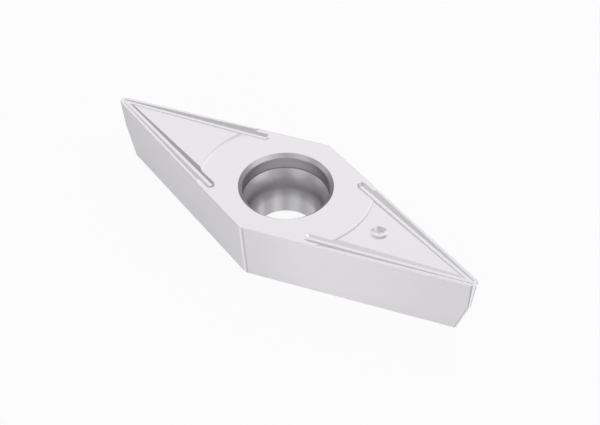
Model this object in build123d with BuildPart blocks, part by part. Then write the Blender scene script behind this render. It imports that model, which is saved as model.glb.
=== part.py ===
"""Indexable turning insert: a 35 degree rhombus with 5 degree flanks and a screw bore.

Frame, millimetres: the origin lies in the flat underside on the bore axis, X runs along
the long diagonal from nose to nose, Y along the short diagonal, Z up through the bore.
"""

import os
from math import atan, cos, radians, sin, sqrt, tan

from build123d import *

# Outline, measured in the plane of the cutting edges
INSCRIBED_CIRCLE = 9.525    # diameter of the circle that touches all four edges
CORNER_ANGLE = 35.0         # angle between the two edges of a nose, degrees
CLEARANCE_ANGLE = 5.0       # the flanks lean in towards the seat, degrees
THICKNESS = 4.76            # seat to cutting edge
NOSE_RADIUS = 0.4           # radius of the cutting corners
SIDE_RADIUS = 0.3           # radius of the two blunt corners
NOSE_GROUND_DEPTH = 2.2     # height of the conical nose relief below the edge
HONE = 0.04                 # 45 degree hone along the cutting edges

# Top face
RECESS_DEPTH = 0.05         # centre face lies this far below the cutting edge
RECESS_RADIUS = 5.72        # flat of the centre face, up to the foot of its rising rim
RECESS_BLEND = 1.2          # radius in which that rim rises to the wedge fields
FIELD_RISE = 0.02           # wedge fields stand this far above the cutting edge

# Chip breaker grooves, one along each half edge, starting on the nose centre
GROOVE_ANGLE = 16.03        # heading from the long diagonal, degrees
GROOVE_LENGTH = 10.8        # between the centres of the rounded ends
GROOVE_FLOOR = 0.21         # width of the flat floor
GROOVE_DEPTH_NOSE = 0.027   # floor below the cutting edge at the nose
GROOVE_DEPTH_END = 0.147    # floor below the cutting edge at the inner end
RAKE_WALL = 20.0            # slope of the wall behind the cutting edge, degrees
FIELD_WALL = 28.0           # slope of the wall up to the wedge field, degrees
GROOVE_REACH = 0.3          # height over which the groove walls are cut

# Screw bore, from the top down
RIM_CHAMFER = 0.26          # 45 degree rim chamfer
COUNTERBORE_DIAMETER = 5.96
COUNTERBORE_DEPTH = 1.17    # below the centre face
BORE_DIAMETER = 4.4
SEAT_RADIUS = 2.65          # convex seat for the screw head
BORE_CHAMFER = 0.1          # at the underside

# Round orientation dimple on one wedge field
DIMPLE_X = 7.54
DIMPLE_DIAMETER = 1.16
DIMPLE_DEPTH = 0.15

# Derived dimensions
half_angle = radians(CORNER_ANGLE / 2)
lean = tan(radians(CLEARANCE_ANGLE))
nose_x = (INSCRIBED_CIRCLE / 2 - NOSE_RADIUS) / sin(half_angle)
centre_z = THICKNESS - RECESS_DEPTH
field_z = THICKNESS + FIELD_RISE
cut_top = field_z + RECESS_DEPTH


def half_diagonals(depth, inset):
    """Half lengths of the sharp cornered outline at a depth below the cutting edge."""
    inradius = INSCRIBED_CIRCLE / 2 - depth * lean - inset
    return inradius / sin(half_angle), inradius / cos(half_angle)


def nose_radius(depth):
    """Nose radius at a depth: a ground cone above, a constant radius below it."""
    return NOSE_RADIUS - min(depth, NOSE_GROUND_DEPTH) * lean


# One groove: a slot on the sloping floor plane that widens upwards
fall = atan((GROOVE_DEPTH_END - GROOVE_DEPTH_NOSE) / GROOVE_LENGTH)
heading = radians(GROOVE_ANGLE)
along = Vector(-cos(heading) * cos(fall), sin(heading) * cos(fall), -sin(fall))
inward = Vector(-sin(heading), -cos(heading), 0)
floor_plane = Plane(
    origin=(nose_x, 0, THICKNESS - GROOVE_DEPTH_NOSE),
    x_dir=along,
    z_dir=along.cross(inward),
)
rake_run = GROOVE_REACH / tan(radians(RAKE_WALL))
field_run = GROOVE_REACH / tan(radians(FIELD_WALL))

with BuildPart() as groove:
    with BuildSketch(floor_plane):
        with Locations((GROOVE_LENGTH / 2, 0)):
            SlotCenterToCenter(GROOVE_LENGTH, GROOVE_FLOOR)
    with BuildSketch(floor_plane.offset(GROOVE_REACH)):
        with Locations((GROOVE_LENGTH / 2, (field_run - rake_run) / 2)):
            SlotCenterToCenter(GROOVE_LENGTH, GROOVE_FLOOR + rake_run + field_run)
    loft(ruled=True)

with BuildPart() as insert:
    # Body: honed edge, flanks that lean in, noses conical above and oblique below
    for depth, inset in ((0, HONE), (HONE, 0), (NOSE_GROUND_DEPTH, 0), (THICKNESS, 0)):
        with BuildSketch(Plane.XY.offset(THICKNESS - depth)):
            with BuildLine():
                long_half, short_half = half_diagonals(depth, inset)
                Polyline(
                    (long_half, 0),
                    (0, short_half),
                    (-long_half, 0),
                    (0, -short_half),
                    close=True,
                )
            make_face()
            noses = vertices().group_by(SortBy.DISTANCE)[-1]
            fillet(noses, radius=nose_radius(depth) - inset)
            blunt = [vertices().sort_by(Axis.Y)[0], vertices().sort_by(Axis.Y)[-1]]
            fillet(blunt, radius=SIDE_RADIUS - inset)
    loft(ruled=True)

    # Wedge fields stand a little above the cutting edges
    with BuildSketch(Plane.XY.offset(THICKNESS)):
        with BuildLine():
            field_half = nose_x * tan(heading)
            Polyline(
                (nose_x, 0),
                (0, field_half),
                (-nose_x, 0),
                (0, -field_half),
                close=True,
            )
        make_face()
    extrude(amount=FIELD_RISE)

    # Bore, screw seat and round centre recess in one turned cut
    with BuildSketch(Plane.XZ):
        with BuildLine():
            bore = BORE_DIAMETER / 2
            counterbore = COUNTERBORE_DIAMETER / 2
            rim = counterbore + RIM_CHAMFER
            seat_top = centre_z - COUNTERBORE_DEPTH
            seat_rise = sqrt(SEAT_RADIUS**2 - (SEAT_RADIUS - counterbore + bore) ** 2)
            seat_foot = seat_top - seat_rise
            blend_run = sqrt(RECESS_BLEND**2 - (RECESS_BLEND + centre_z - cut_top) ** 2)
            recess_foot = (RECESS_RADIUS, centre_z)
            recess_edge = (RECESS_RADIUS + blend_run, cut_top)
            Polyline((0, seat_foot), (0, cut_top), recess_edge)
            RadiusArc(recess_edge, recess_foot, RECESS_BLEND)
            Polyline(
                recess_foot,
                (rim, centre_z),
                (counterbore, centre_z - RIM_CHAMFER),
                (counterbore, seat_top),
            )
            RadiusArc((counterbore, seat_top), (bore, seat_foot), -SEAT_RADIUS)
            Line((bore, seat_foot), (0, seat_foot))
        make_face()
        with BuildLine():
            Polyline(
                (0, seat_foot),
                (bore, seat_foot),
                (bore, BORE_CHAMFER),
                (bore + BORE_CHAMFER, 0),
                (0, 0),
                close=True,
            )
        make_face()
    revolve(axis=Axis.Z, mode=Mode.SUBTRACT)

    # Four chip breaker grooves, mirrored across both diagonals
    add(groove.part, mode=Mode.SUBTRACT)
    mirror(groove.part, about=Plane.XZ, mode=Mode.SUBTRACT)
    mirror(groove.part, about=Plane.YZ, mode=Mode.SUBTRACT)
    add(groove.part.rotate(Axis.Z, 180), mode=Mode.SUBTRACT)

    # Orientation dimple
    ball = (DIMPLE_DIAMETER**2 / 4 + DIMPLE_DEPTH**2) / (2 * DIMPLE_DEPTH)
    with Locations((DIMPLE_X, 0, field_z - DIMPLE_DEPTH + ball)):
        Sphere(ball, mode=Mode.SUBTRACT)

insert.part.label = "insert_body"

os.makedirs("parts", exist_ok=True)
export_step(insert.part, "parts/insert_body.step")
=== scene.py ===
"""Looks of the turning insert: carbide finish with painted highlights, shade and reflections,
pale studio floor, soft light and camera.
"""

from math import cos, pi, radians, sin, tan

import bpy
from mathutils import Matrix, Vector


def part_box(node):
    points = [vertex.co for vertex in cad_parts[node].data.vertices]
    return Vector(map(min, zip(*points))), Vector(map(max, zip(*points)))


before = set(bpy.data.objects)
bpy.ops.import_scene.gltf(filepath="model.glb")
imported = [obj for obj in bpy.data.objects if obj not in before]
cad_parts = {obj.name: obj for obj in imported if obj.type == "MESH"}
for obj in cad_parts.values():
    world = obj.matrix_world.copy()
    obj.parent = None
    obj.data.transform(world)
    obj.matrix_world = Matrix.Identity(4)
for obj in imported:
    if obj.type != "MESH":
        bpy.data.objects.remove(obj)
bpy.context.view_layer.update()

MM = 0.001
_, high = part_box("insert_body")
RECESS_DEPTH = 0.07 * MM        # wedge fields above the centre face
centre_face_z = high.z - RECESS_DEPTH

# Camera: solved from the outline of the insert, which fills the picture
CAMERA_TARGET = Vector((2.314 * MM, -1.526 * MM, centre_face_z))
CAMERA_DISTANCE = 79.25 * MM
CAMERA_AZIMUTH = -53.774        # degrees from +X, seen from above
CAMERA_ELEVATION = 45.053
CAMERA_ROLL = 0.557
CAMERA_LENS_MM = 72.258         # on a 36 mm wide sensor
CAMERA_CLIP_START = 1 * MM
SENSOR_MM = 36.0

# In all of the finish and painted light and shade below, lengths and heights are in mm,
# a facing is one part of the surface's unit normal, and a tone is a share of the carbide
# colour. The tones were set to match this photograph, and are no measured finish.
CARBIDE = (0.80, 0.785, 0.81)
ROUGHNESS = 0.3
FLANK_ROUGHNESS = 0.42
BORE_ROUGHNESS = 0.38
GRAIN_ROUGHNESS = 0.08          # how much the grain varies the roughness
ANISOTROPY = 0.7                # of the ground flanks
EDGE_RADIUS = 0.04              # rounding of every edge in the shading
EDGE_SAMPLES = 6
RELIEF_HEIGHT = 0.0012          # of grain and lay together
GRAIN_RELIEF = 0.4              # shares of that height
LAY_RELIEF = 0.6

# Noises: a scale is per mm, and for the streaks per unit of the direction from the axis
NOISE_MIDDLE = 0.5
GRAIN = {"scale": 9.0, "detail": 4.0}
CLOUD = {"scale": 0.22, "detail": 1.0}      # broad and faint, on the flanks
LAY = {"scale": 1.0, "detail": 3.0}
LAY_ALONG = 0.25                # the lay runs level: it changes slowly along the flanks
LAY_UP = 26.0                   # and fast with height
UNEVEN_REFLECTION_STREAKS = {"scale": 3.0, "detail": 2.0}   # painted reflection streaks down the lower bore
RINGS = {"scale": 1.0, "detail": 2.0}
RINGS_UP = 9.0                  # rings in the counterbore change with height alone

# Regions
BORE_RIM_RADIUS = 3.24          # outside of the rim chamfer
BORE_RIM_BLEND = 0.03           # half width of the change to the bore's finish there
UPRIGHT_FACING_UP = 0.3         # flanks and corners face up by less than this
FLANK_ACROSS = 0.2995           # how far each flank's normal faces along X
FLANK_ACROSS_TOLERANCE = 0.02

# Tones of the top, with painted highlights and painted light and shade on the groove walls. A
# facing up comes with its tolerance.
GRAIN_TONE = 0.05
HONE_FACING_UP = (0.707, 0.08)  # the honed edge, brightened by a painted highlight
HONE_HIGHLIGHT = 0.15
WALL_FACING_UP = (0.912, 0.04)  # the groove walls
WALL_LEAN_MOST = 0.145          # limit of a wall's facing along X that counts
WALL_LIGHT_AND_SHADE = 0.95                # painted light and shade: each groove has one wall brighter than the other
STEP_FACING_UP = (0.986, 0.0115)   # the soft step round the recess
STEP_CREST = (0.998, 0.981)     # smoothed facings up between which the painted highlight on the crest comes in
STEP_HIGHLIGHT = 0.13

# Tones of the ground flanks, with painted light, shade and reflections
FLANK_TONE = 1.01
FLANK_LIGHT_ACROSS = 0.22        # painted light: flanks that face +X are brighter than the others
LAY_TONE = 0.07
CLOUD_TONE = 0.06
FLANK_SHADE_TO_NOSE = -0.075
NOSE_SHADE_REACH = (6.0, 15.0)   # from the middle, where the painted shade starts and where it is full
FLANK_SHADE_TO_MIDDLE = -0.03
FLANK_SHADE_ACROSS = -0.2        # the painted shade to the middle is stronger where flanks face +X, and turns to faint painted light where they face -X
MIDDLE_SHADE_REACH = (4.5, 0.0)  # the same for the painted shade to the middle
CORNER_REFLECTIONS = 0.42           # depth of the painted reflections round the corners, as upright streaks
CORNER_REFLECTION_COUNT = 8         # painted reflection streaks in a full turn
CORNER_REFLECTION_PHASE = 4.887     # radians
SIDE_CORNER_REFLECTION = (-2.0, 0.5)   # its change with the facing along X and its middle
CORNER_SHADE_LINE = (0.15, 0.055)    # X and half width of a painted shade line beside the side corners
CORNER_SHADE_DEPTH = -0.22

# Tones of the bore, which painted shade makes darker than the ground faces
BORE_SHADE = 0.77
LOWER_BORE = (2.6, 1.4)         # heights between which the painted reflection streaks of the lower bore come in
UNEVEN_REFLECTION_TONE = 0.35
EVEN_REFLECTION_TONE = 0.075
EVEN_REFLECTION_COUNT = 10          # in a full turn
SEAT_SHADE_BAND = (1.9, 0.75)         # height and half width of the painted shade at the foot of the screw seat
SEAT_SHADE_DEPTH = -0.2
LEDGE = (3.57, 0.06)            # height and half width of the painted shade line at the counterbore's foot
LEDGE_SHADE_DEPTH = -0.25
RING_REACH = (3.4, 3.7)         # heights between which the counterbore's rings come in
RING_TONE = 0.35
COUNTERBORE_FOOT = (3.5, 3.6)   # heights between which its shade comes in
COUNTERBORE_SHADE = -0.13
RIM_CHAMFER_FOOT = (4.4, 4.5)   # the same for the chamfer's painted highlight
RIM_CHAMFER_HIGHLIGHT = 0.1

# Studio
WHITE = (1.0, 1.0, 1.0, 1.0)
WORLD_STRENGTH = 0.37
FLOOR_SIZE = 1.2                # m
FLOOR_PAINT = (0.85, 0.85, 0.85, 1.0)
FLOOR_ROUGHNESS = 0.8
FLOOR_GLOSSY_SHARE = 0.66       # share of plain white in what the insert mirrors of the floor
FLOOR_CAMERA_SHARE = 0.92       # the same in what the camera sees of it
LAMP_DISTANCE = 250 * MM
# name: azimuth, elevation, half width and half height in degrees, radiance (1 is white).
# The radiances were fitted to the photograph's shading, then rounded and trimmed.
SOFTBOXES = {
    "back_softbox": (130, 43, 41, 16, 0.74),
    "low_back_softbox": (112, 8, 24, 8, 0.32),
    "high_back_softbox": (60, 65, 20, 14, 0.41),
    "high_right_softbox": (0, 62, 20, 12, 1.40),
    "right_softbox": (14, 34, 17, 15, 0.75),
    "low_right_softbox": (20, 8, 20, 8, 1.10),
    "low_front_right_softbox": (335, 12, 18, 10, 0.95),
    "low_front_softbox": (275, 12, 14, 10, 1.43),
    "front_softbox": (268, 42, 18, 10, 0.80),
    "left_softbox": (214, 25, 14, 10, 0.60),
    "top_softbox": (230, 75, 20, 16, 0.38),
}


def direction(azimuth, elevation):
    """Unit vector to a place given by its azimuth from +X and elevation, in degrees."""
    turn = radians(azimuth)
    rise = radians(elevation)
    return Vector((cos(rise) * cos(turn), cos(rise) * sin(turn), sin(rise)))


def aim(obj, place, target, roll=0.0):
    """Puts an object at a place with its -Z axis on a target, and rolls it in degrees."""
    back = (place - target).normalized()
    right = Vector((0, 0, 1)).cross(back).normalized()
    up = back.cross(right)
    turn = Matrix((right, up, back)).transposed() @ Matrix.Rotation(radians(roll), 3, "Z")
    obj.matrix_world = Matrix.Translation(place) @ turn.to_4x4()


def make_camera():
    data = bpy.data.cameras.new("camera")
    data.lens = CAMERA_LENS_MM
    data.sensor_width = SENSOR_MM
    data.clip_start = CAMERA_CLIP_START
    camera = bpy.data.objects.new("camera", data)
    bpy.context.scene.collection.objects.link(camera)
    place = CAMERA_TARGET + CAMERA_DISTANCE * direction(CAMERA_AZIMUTH, CAMERA_ELEVATION)
    aim(camera, place, CAMERA_TARGET, CAMERA_ROLL)
    bpy.context.scene.camera = camera


class Tree:
    """A material's node tree with short calls for adding and joining nodes."""

    def __init__(self, name):
        self.material = bpy.data.materials.new(name)
        self.material.use_nodes = True
        self.nodes = self.material.node_tree.nodes
        self.nodes.clear()

    def add(self, kind, **settings):
        node = self.nodes.new(kind)
        for key, value in settings.items():
            setattr(node, key, value)
        return node

    def join(self, source, target):
        self.material.node_tree.links.new(source, target)

    def feed(self, socket, value):
        """Sets a socket from another node's output or from a constant."""
        if isinstance(value, bpy.types.NodeSocket):
            self.join(value, socket)
        else:
            socket.default_value = value

    def math(self, operation, *values):
        node = self.add("ShaderNodeMath", operation=operation)
        for socket, value in zip(node.inputs, values):
            self.feed(socket, value)
        return node.outputs["Value"]

    def plus(self, total, amount, depth):
        """A total with an amount times its depth added."""
        return self.math("MULTIPLY_ADD", amount, depth, total)

    def centred(self, noise):
        """A noise about zero instead of about its middle."""
        return self.math("SUBTRACT", noise, NOISE_MIDDLE)

    def vector(self, operation, *values):
        node = self.add("ShaderNodeVectorMath", operation=operation)
        for socket, value in zip(node.inputs, values):
            self.feed(socket, value)
        return node.outputs["Value" if operation == "LENGTH" else "Vector"]

    def scaled(self, source, factor):
        node = self.add("ShaderNodeVectorMath", operation="SCALE")
        self.feed(node.inputs["Vector"], source)
        self.feed(node.inputs["Scale"], factor)
        return node.outputs["Vector"]

    def split(self, source):
        node = self.add("ShaderNodeSeparateXYZ")
        self.join(source, node.inputs["Vector"])
        return tuple(node.outputs)

    def combine(self, *values):
        node = self.add("ShaderNodeCombineXYZ")
        for socket, value in zip(node.inputs, values):
            self.feed(socket, value)
        return node.outputs["Vector"]

    def blend(self, share, first, second):
        """First where the share is 0, second where it is 1."""
        node = self.add("ShaderNodeMix", data_type="FLOAT")
        factor, _, first_input, second_input = node.inputs[:4]
        self.feed(factor, share)
        self.feed(first_input, first)
        self.feed(second_input, second)
        return node.outputs[0]

    def noise(self, place, scale, detail):
        node = self.add("ShaderNodeTexNoise")
        self.join(place, node.inputs["Vector"])
        node.inputs["Scale"].default_value = scale
        node.inputs["Detail"].default_value = detail
        return node.outputs["Fac"]

    def ramp(self, value, start, end, full=1.0):
        """Goes smoothly from 0 where a value is at the start to full where it is at the end."""
        node = self.add("ShaderNodeMapRange", interpolation_type="SMOOTHSTEP")
        self.feed(node.inputs["Value"], value)
        self.feed(node.inputs["From Min"], start)
        self.feed(node.inputs["From Max"], end)
        self.feed(node.inputs["To Min"], 0.0)
        self.feed(node.inputs["To Max"], full)
        return node.outputs["Result"]


class Surface:
    """What the carbide's finish depends on, as outputs of a tree's nodes."""

    def __init__(self, tree):
        coordinates = tree.add("ShaderNodeTexCoord")
        geometry = tree.add("ShaderNodeNewGeometry")
        self.place = tree.scaled(coordinates.outputs["Object"], 1 / MM)
        self.x, self.y, self.z = tree.split(self.place)
        self.normal = geometry.outputs["True Normal"]
        self.across, _, self.facing_up = tree.split(self.normal)
        self.smooth_x, self.smooth_y, self.smooth_up = tree.split(geometry.outputs["Normal"])
        self.find_regions(tree)
        self.grain = tree.noise(self.place, **GRAIN)
        self.lay = tree.noise(self.lay_place(tree), **LAY)

    def find_regions(self, tree):
        """Marks the bore, the ground faces and the corners among them with 1."""
        radius = tree.vector("LENGTH", tree.combine(self.x, self.y, 0.0))
        self.bore = tree.ramp(
            radius,
            BORE_RIM_RADIUS + BORE_RIM_BLEND,
            BORE_RIM_RADIUS - BORE_RIM_BLEND,
        )
        flatness = tree.math("ABSOLUTE", self.facing_up)
        upright = tree.math("LESS_THAN", flatness, UPRIGHT_FACING_UP)
        self.ground = tree.math("MULTIPLY", upright, tree.math("SUBTRACT", 1.0, self.bore))
        sideways = tree.math("ABSOLUTE", self.smooth_x)
        on_flank = tree.math("COMPARE", sideways, FLANK_ACROSS, FLANK_ACROSS_TOLERANCE)
        self.corner = tree.math("MULTIPLY", self.ground, tree.math("SUBTRACT", 1.0, on_flank))

    def lay_place(self, tree):
        """The place with its height stretched, so that the lay runs level."""
        return tree.combine(
            tree.math("MULTIPLY", self.x, LAY_ALONG),
            tree.math("MULTIPLY", self.y, LAY_ALONG),
            tree.math("MULTIPLY", self.z, LAY_UP),
        )


def wall_lean(tree, at):
    """How far the groove walls face along X, with its sign turned where Y is negative."""
    wall = tree.math("COMPARE", at.facing_up, *WALL_FACING_UP)
    lean = tree.math("MULTIPLY", at.across, tree.math("SIGN", at.y))
    lean = tree.math("MAXIMUM", tree.math("MINIMUM", lean, WALL_LEAN_MOST), -WALL_LEAN_MOST)
    return tree.math("MULTIPLY", wall, lean)


def top_tone(tree, at):
    """Tone of the pressed top: 1 on a plain stretch, with painted highlights on hone and step
    and painted light and shade on the groove walls.
    """
    tone = tree.plus(1.0, tree.centred(at.grain), GRAIN_TONE)
    tone = tree.plus(tone, tree.math("COMPARE", at.facing_up, *HONE_FACING_UP), HONE_HIGHLIGHT)
    tone = tree.plus(tone, wall_lean(tree, at), -WALL_LIGHT_AND_SHADE)
    step = tree.math("COMPARE", at.facing_up, *STEP_FACING_UP)
    crest = tree.ramp(at.smooth_up, *STEP_CREST)
    return tree.plus(tone, tree.math("MULTIPLY", step, crest), STEP_HIGHLIGHT)


def painted_corner_reflections(tree, at):
    """Painted reflections as upright streaks: waves round the noses and one even change at the
    side corners.
    """
    angle = tree.math("ARCTAN2", at.smooth_y, at.smooth_x)
    turn = tree.math("MULTIPLY", angle, CORNER_REFLECTION_COUNT)
    waves = tree.math("COSINE", tree.math("ADD", turn, CORNER_REFLECTION_PHASE))
    change = tree.math("MULTIPLY_ADD", at.smooth_x, *SIDE_CORNER_REFLECTION)
    at_side = tree.math("LESS_THAN", tree.math("ABSOLUTE", at.smooth_x), FLANK_ACROSS)
    return tree.math("MULTIPLY", tree.blend(at_side, waves, change), at.corner)


def flank_painted_shade(tree, at, tone):
    """A flank's tone with painted shade towards the nose and towards the middle."""
    along = tree.math("ABSOLUTE", at.x)
    nose_shade = tree.ramp(along, *NOSE_SHADE_REACH, full=FLANK_SHADE_TO_NOSE)
    middle_shade_depth = tree.plus(FLANK_SHADE_TO_MIDDLE, at.across, FLANK_SHADE_ACROSS)
    middle_shade = tree.math("MULTIPLY", middle_shade_depth, tree.ramp(along, *MIDDLE_SHADE_REACH))
    return tree.math("ADD", tree.math("ADD", tone, nose_shade), middle_shade)


def flank_tone(tree, at):
    """Tone of the ground flanks and corners, with painted light, shade and reflections."""
    cloud = tree.noise(at.place, **CLOUD)
    tone = tree.plus(FLANK_TONE, at.across, FLANK_LIGHT_ACROSS)
    tone = tree.plus(tone, tree.centred(at.lay), LAY_TONE)
    tone = tree.plus(tone, tree.centred(cloud), CLOUD_TONE)
    tone = tree.plus(tone, painted_corner_reflections(tree, at), CORNER_REFLECTIONS)
    tone = tree.plus(tone, tree.math("COMPARE", at.x, *CORNER_SHADE_LINE), CORNER_SHADE_DEPTH)
    return flank_painted_shade(tree, at, tone)


def lower_bore_tone(tree, at):
    """The bore's painted shade with two kinds of painted reflection streaks down its lower
    stretch.
    """
    low_down = tree.ramp(at.z, *LOWER_BORE)
    around = tree.vector("NORMALIZE", tree.combine(at.x, at.y, 0.0))
    uneven = tree.centred(tree.noise(around, **UNEVEN_REFLECTION_STREAKS))
    angle = tree.math("ARCTAN2", at.y, at.x)
    even = tree.math("COSINE", tree.math("MULTIPLY", angle, EVEN_REFLECTION_COUNT))
    tone = tree.plus(BORE_SHADE, tree.math("MULTIPLY", uneven, low_down), UNEVEN_REFLECTION_TONE)
    return tree.plus(tone, tree.math("MULTIPLY", even, low_down), EVEN_REFLECTION_TONE)


def seat_tone(tree, at, tone):
    """A tone with painted shade at the foot of the screw seat and a painted shade line above
    the seat.
    """
    height, half_width = SEAT_SHADE_BAND
    from_band = tree.math("ABSOLUTE", tree.math("SUBTRACT", at.z, height))
    tone = tree.math("ADD", tone, tree.ramp(from_band, half_width, 0.0, full=SEAT_SHADE_DEPTH))
    return tree.plus(tone, tree.math("COMPARE", at.z, *LEDGE), LEDGE_SHADE_DEPTH)


def counterbore_tone(tree, at, tone):
    """A tone with the counterbore's rings and shade and the painted highlight on the rim
    chamfer.
    """
    ring_place = tree.combine(0.0, 0.0, tree.math("MULTIPLY", at.z, RINGS_UP))
    rings = tree.centred(tree.noise(ring_place, **RINGS))
    rings = tree.math("MULTIPLY", rings, tree.ramp(at.z, *RING_REACH))
    shade = tree.ramp(at.z, *COUNTERBORE_FOOT, full=COUNTERBORE_SHADE)
    chamfer_highlight = tree.ramp(at.z, *RIM_CHAMFER_FOOT, full=RIM_CHAMFER_HIGHLIGHT)
    tone = tree.plus(tone, rings, RING_TONE)
    return tree.math("ADD", tree.math("ADD", tone, shade), chamfer_highlight)


def bore_tone(tree, at):
    tone = seat_tone(tree, at, lower_bore_tone(tree, at))
    return counterbore_tone(tree, at, tone)


def carbide_colour(tree, at):
    tone = tree.blend(at.ground, top_tone(tree, at), flank_tone(tree, at))
    tone = tree.blend(at.bore, tone, bore_tone(tree, at))
    return tree.scaled(CARBIDE, tone)


def carbide_roughness(tree, at):
    rough = tree.blend(at.ground, ROUGHNESS, FLANK_ROUGHNESS)
    rough = tree.blend(at.bore, rough, BORE_ROUGHNESS)
    return tree.plus(rough, tree.centred(at.grain), GRAIN_ROUGHNESS)


def upright_tangent(tree, at):
    """Tangent up the flanks: the lay runs level, so glints spread upright."""
    level = tree.vector("CROSS_PRODUCT", at.normal, (0, 0, 1))
    return tree.vector("NORMALIZE", tree.vector("CROSS_PRODUCT", level, at.normal))


def carbide_relief(tree, at):
    """Normal with rounded edges, fine grain everywhere and the lay on the flanks."""
    edges = tree.add("ShaderNodeBevel", samples=EDGE_SAMPLES)
    edges.inputs["Radius"].default_value = EDGE_RADIUS * MM
    relief = tree.math("MULTIPLY", at.grain, GRAIN_RELIEF)
    relief = tree.plus(relief, tree.math("MULTIPLY", at.lay, at.ground), LAY_RELIEF)
    bump = tree.add("ShaderNodeBump")
    bump.inputs["Strength"].default_value = 1.0
    bump.inputs["Distance"].default_value = RELIEF_HEIGHT * MM
    tree.join(relief, bump.inputs["Height"])
    tree.join(edges.outputs["Normal"], bump.inputs["Normal"])
    return bump.outputs["Normal"]


def carbide_material():
    """Cemented carbide: ground flanks with level lay lines, satin top, a bore darker by painted
    shade, and painted highlights and reflections.
    """
    tree = Tree("carbide")
    at = Surface(tree)
    output = tree.add("ShaderNodeOutputMaterial")
    shader = tree.add("ShaderNodeBsdfPrincipled")
    shader.inputs["Metallic"].default_value = 1.0
    tree.join(carbide_colour(tree, at), shader.inputs["Base Color"])
    tree.join(carbide_roughness(tree, at), shader.inputs["Roughness"])
    tree.join(upright_tangent(tree, at), shader.inputs["Tangent"])
    tree.join(tree.math("MULTIPLY", at.ground, ANISOTROPY), shader.inputs["Anisotropic"])
    tree.join(carbide_relief(tree, at), shader.inputs["Normal"])
    tree.join(shader.outputs["BSDF"], output.inputs["Surface"])
    return tree.material


def floor_material():
    """White to the camera bar the insert's soft shadow, and pale in its mirror image."""
    tree = Tree("floor")
    output = tree.add("ShaderNodeOutputMaterial")
    paint = tree.add("ShaderNodeBsdfPrincipled")
    paint.inputs["Base Color"].default_value = FLOOR_PAINT
    paint.inputs["Roughness"].default_value = FLOOR_ROUGHNESS
    glow = tree.add("ShaderNodeEmission")
    glow.inputs["Strength"].default_value = 1.0
    path = tree.add("ShaderNodeLightPath")
    seen = tree.math("MULTIPLY", path.outputs["Is Camera Ray"], FLOOR_CAMERA_SHARE)
    mirrored = tree.math("MULTIPLY", path.outputs["Is Glossy Ray"], FLOOR_GLOSSY_SHARE)
    mix = tree.add("ShaderNodeMixShader")
    tree.join(tree.math("MAXIMUM", seen, mirrored), mix.inputs["Fac"])
    tree.join(paint.outputs["BSDF"], mix.inputs[1])
    tree.join(glow.outputs["Emission"], mix.inputs[2])
    tree.join(mix.outputs["Shader"], output.inputs["Surface"])
    return tree.material


def make_floor():
    bpy.ops.mesh.primitive_plane_add(size=FLOOR_SIZE)
    floor = bpy.context.object
    floor.name = "floor"
    floor.data.materials.append(floor_material())


def add_softbox(name, azimuth, elevation, half_width, half_height, radiance):
    """A soft rectangular lamp of a given radiance, sized by the angles that it fills."""
    data = bpy.data.lights.new(name, "AREA")
    data.shape = "RECTANGLE"
    data.size = 2 * LAMP_DISTANCE * tan(radians(half_width))
    data.size_y = 2 * LAMP_DISTANCE * tan(radians(half_height))
    data.energy = radiance * pi * data.size * data.size_y
    light = bpy.data.objects.new(name, data)
    bpy.context.scene.collection.objects.link(light)
    centre = Vector((0, 0, centre_face_z))
    aim(light, centre + LAMP_DISTANCE * direction(azimuth, elevation), centre)


def light_studio():
    world = bpy.data.worlds.new("studio")
    bpy.context.scene.world = world
    world.use_nodes = True
    background = world.node_tree.nodes["Background"]
    background.inputs["Color"].default_value = WHITE
    background.inputs["Strength"].default_value = WORLD_STRENGTH
    for name, settings in SOFTBOXES.items():
        add_softbox(name, *settings)


make_camera()
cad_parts["insert_body"].material_slots[0].material = carbide_material()
make_floor()
light_studio()
bpy.context.scene.view_settings.view_transform = "Standard"
